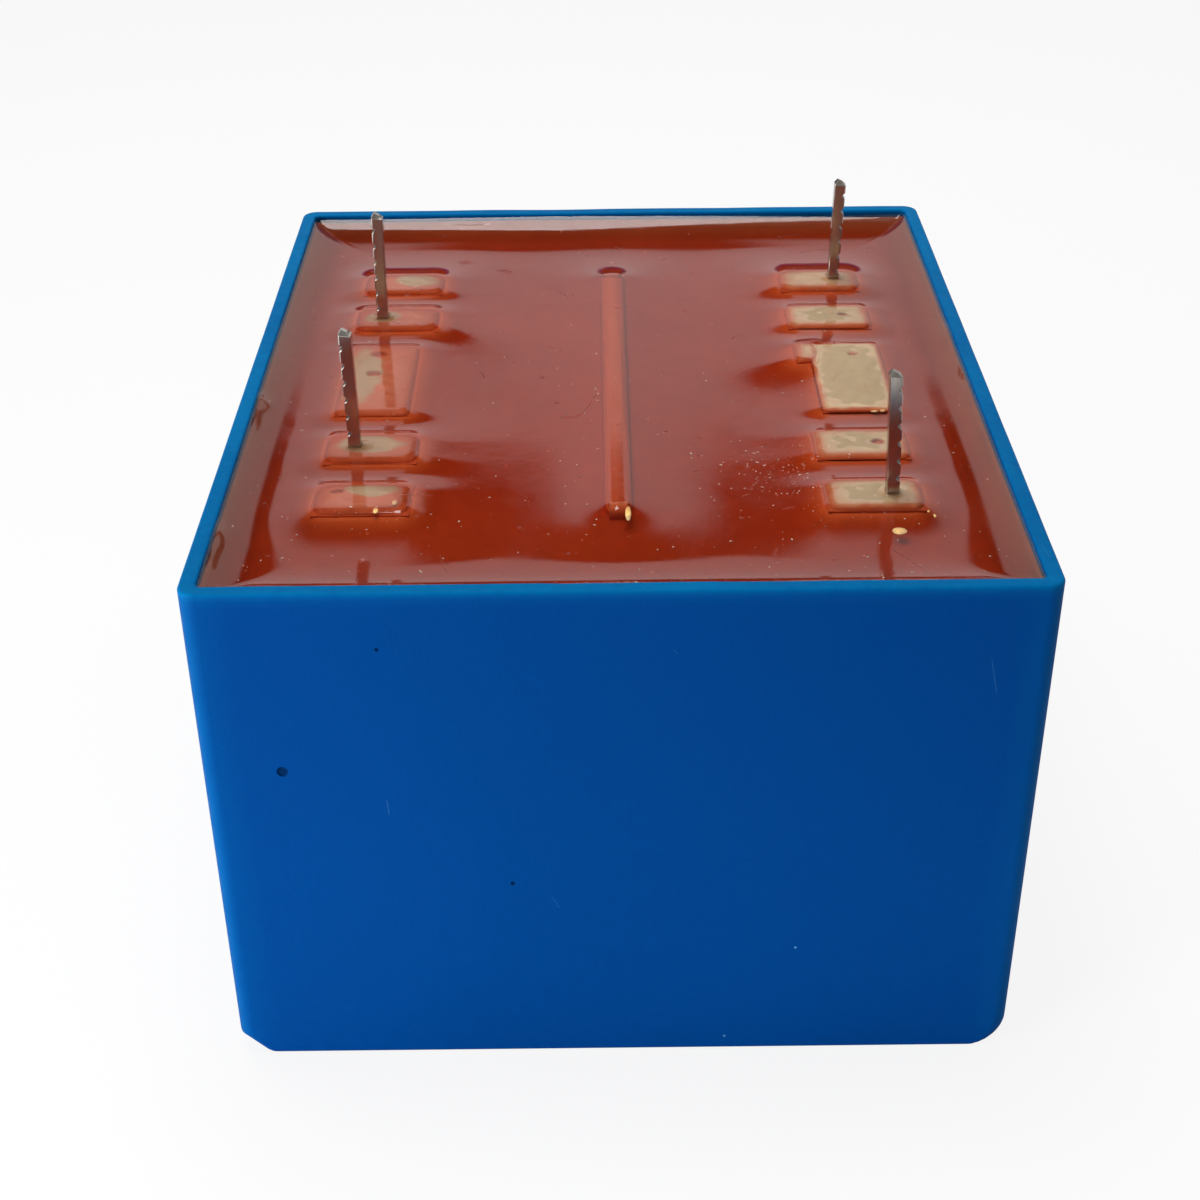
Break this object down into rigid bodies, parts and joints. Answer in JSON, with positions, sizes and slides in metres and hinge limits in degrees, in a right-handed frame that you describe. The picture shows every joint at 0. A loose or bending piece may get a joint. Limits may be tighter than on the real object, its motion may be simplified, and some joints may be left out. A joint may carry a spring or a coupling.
{
  "type": "potted pcb transformer",
  "caption": "Potted mains transformer for board mounting: blue cup case filled with resin, ivory bobbin with castellated terminal rails, square notched pins and an interleaved EI core.",
  "frame": {"origin": "centre of the closed outer face of the case, which the part rests on", "axes": "+Z from the closed face towards the pins, +X from the secondary to the primary pin row, +Y along the pin rows"},
  "size_m": [0.037, 0.044, 0.0316],
  "materials": {
    "case_plastic": "satin blue moulding",
    "resin": "glossy, translucent red-brown casting resin",
    "bobbin_plastic": "ivory moulding",
    "enamelled_copper": "enamelled copper wire",
    "tape": "yellow polyester tape",
    "tinned_wire": "tinned square wire",
    "solder": "solder",
    "core_steel": "silicon steel sheet"
  },
  "bodies": {
    "root": {"case": "case_plastic", "potting": "resin", "clear_resin": "resin", "bobbin": "bobbin_plastic", "primary_winding": "enamelled_copper", "secondary_winding": "enamelled_copper", "primary_tape": "tape", "secondary_tape": "tape", "primary_pin_front": "tinned_wire", "primary_lead_front": "enamelled_copper", "primary_solder_front": "solder", "primary_pin_rear": "tinned_wire", "primary_lead_rear": "enamelled_copper", "primary_solder_rear": "solder", "secondary_pin_front": "tinned_wire", "secondary_lead_front": "enamelled_copper", "secondary_solder_front": "solder", "secondary_pin_rear": "tinned_wire", "secondary_lead_rear": "enamelled_copper", "secondary_solder_rear": "solder", "e_lamination_1": "core_steel", "e_lamination_2": "core_steel", "e_lamination_3": "core_steel", "e_lamination_4": "core_steel", "e_lamination_5": "core_steel", "e_lamination_6": "core_steel", "e_lamination_7": "core_steel", "e_lamination_8": "core_steel", "e_lamination_9": "core_steel", "e_lamination_10": "core_steel", "e_lamination_11": "core_steel", "e_lamination_12": "core_steel", "e_lamination_13": "core_steel", "e_lamination_14": "core_steel", "e_lamination_15": "core_steel", "e_lamination_16": "core_steel", "e_lamination_17": "core_steel", "e_lamination_18": "core_steel", "e_lamination_19": "core_steel", "e_lamination_20": "core_steel", "i_lamination_1": "core_steel", "i_lamination_2": "core_steel", "i_lamination_3": "core_steel", "i_lamination_4": "core_steel", "i_lamination_5": "core_steel", "i_lamination_6": "core_steel", "i_lamination_7": "core_steel", "i_lamination_8": "core_steel", "i_lamination_9": "core_steel", "i_lamination_10": "core_steel", "i_lamination_11": "core_steel", "i_lamination_12": "core_steel", "i_lamination_13": "core_steel", "i_lamination_14": "core_steel", "i_lamination_15": "core_steel", "i_lamination_16": "core_steel", "i_lamination_17": "core_steel", "i_lamination_18": "core_steel", "i_lamination_19": "core_steel", "i_lamination_20": "core_steel"}
  },
  "joints": []
}
